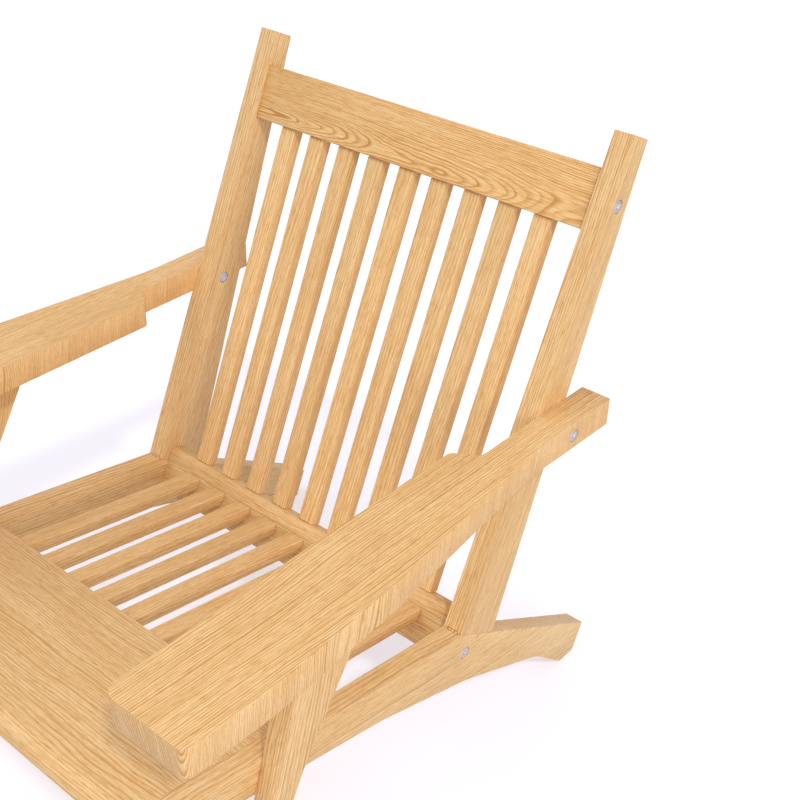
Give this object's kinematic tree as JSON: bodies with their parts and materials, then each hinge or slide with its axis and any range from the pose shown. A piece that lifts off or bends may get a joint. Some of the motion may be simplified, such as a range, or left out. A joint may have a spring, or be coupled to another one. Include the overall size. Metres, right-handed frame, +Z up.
{
  "type": "folding lounge chair",
  "caption": "Folding wooden lounge chair with a slatted seat and leaning slatted back, broad level arms and splayed legs; the back folds forward and the arms and front legs follow.",
  "frame": {"origin": "on the floor, under the middle of the chair's outline", "axes": "+Z up, the chair faces -Y, +X is to the right for someone standing in front of it"},
  "size_m": [0.7734, 0.8318, 0.8089],
  "materials": {
    "oiled_wood": "satin, oiled, fine straight grain",
    "bolt_steel": "satin",
    "hinge_brass": "satin"
  },
  "bodies": {
    "seat_frame": {"front_board": "oiled_wood", "seat_rear_rail": "oiled_wood", "seat_slat_1": "oiled_wood", "seat_slat_2": "oiled_wood", "seat_slat_3": "oiled_wood", "seat_slat_4": "oiled_wood", "seat_slat_5": "oiled_wood", "seat_slat_6": "oiled_wood", "seat_slat_7": "oiled_wood", "seat_slat_8": "oiled_wood", "seat_slat_9": "oiled_wood", "side_rail_left": "oiled_wood", "rail_bolt_left": "bolt_steel", "leg_pin_left": "bolt_steel", "back_hinge_left_leaf_fixed": "hinge_brass", "back_hinge_left_pin": "hinge_brass", "side_rail_right": "oiled_wood", "rail_bolt_right": "bolt_steel", "leg_pin_right": "bolt_steel", "back_hinge_right_leaf_fixed": "hinge_brass", "back_hinge_right_pin": "hinge_brass"},
    "back_frame": {"top_rail": "oiled_wood", "back_lower_rail": "oiled_wood", "back_slat_1": "oiled_wood", "back_slat_2": "oiled_wood", "back_slat_3": "oiled_wood", "back_slat_4": "oiled_wood", "back_slat_5": "oiled_wood", "back_slat_6": "oiled_wood", "back_slat_7": "oiled_wood", "back_slat_8": "oiled_wood", "back_slat_9": "oiled_wood", "stile_left": "oiled_wood", "top_rail_bolt_left": "bolt_steel", "arm_bolt_left": "bolt_steel", "arm_nut_left": "bolt_steel", "back_hinge_left_leaf_swing": "hinge_brass", "stile_right": "oiled_wood", "top_rail_bolt_right": "bolt_steel", "arm_bolt_right": "bolt_steel", "arm_nut_right": "bolt_steel", "back_hinge_right_leaf_swing": "hinge_brass"},
    "arm_assembly_left": {"arm_left": "oiled_wood", "leg_hinge_left_leaf_fixed": "hinge_brass", "leg_hinge_left_pin": "hinge_brass"},
    "leg_assembly_left": {"front_leg_left": "oiled_wood", "leg_hinge_left_leaf_swing": "hinge_brass"},
    "arm_assembly_right": {"arm_right": "oiled_wood", "leg_hinge_right_leaf_fixed": "hinge_brass", "leg_hinge_right_pin": "hinge_brass"},
    "leg_assembly_right": {"front_leg_right": "oiled_wood", "leg_hinge_right_leaf_swing": "hinge_brass"}
  },
  "joints": [
    {"name": "back_fold", "type": "hinge", "parent": "seat_frame", "child": "back_frame", "pos_m": [0, 0.1075, 0.2254], "axis": [1, 0, 0], "range_deg": [0, 90]},
    {"name": "arm_swing_left", "type": "hinge", "parent": "back_frame", "child": "arm_assembly_left", "pos_m": [-0.32, 0.25282, 0.47713], "axis": [1, 0, 0], "range_deg": [-90, 0]},
    {"name": "leg_fold_left", "type": "hinge", "parent": "arm_assembly_left", "child": "leg_assembly_left", "pos_m": [-0.314, -0.0825, 0.4595], "axis": [1, 0, 0], "range_deg": [0, 106.2]},
    {"name": "arm_swing_right", "type": "hinge", "parent": "back_frame", "child": "arm_assembly_right", "pos_m": [0.32, 0.25282, 0.47713], "axis": [1, 0, 0], "range_deg": [-90, 0]},
    {"name": "leg_fold_right", "type": "hinge", "parent": "arm_assembly_right", "child": "leg_assembly_right", "pos_m": [0.314, -0.0825, 0.4595], "axis": [1, 0, 0], "range_deg": [0, 106.2]}
  ],
  "couplings": [
    {"joint": "arm_swing_left", "follows": "back_fold", "ratio": -1},
    {"joint": "leg_fold_left", "follows": "back_fold", "ratio": 1.18},
    {"joint": "arm_swing_right", "follows": "back_fold", "ratio": -1},
    {"joint": "leg_fold_right", "follows": "back_fold", "ratio": 1.18}
  ]
}
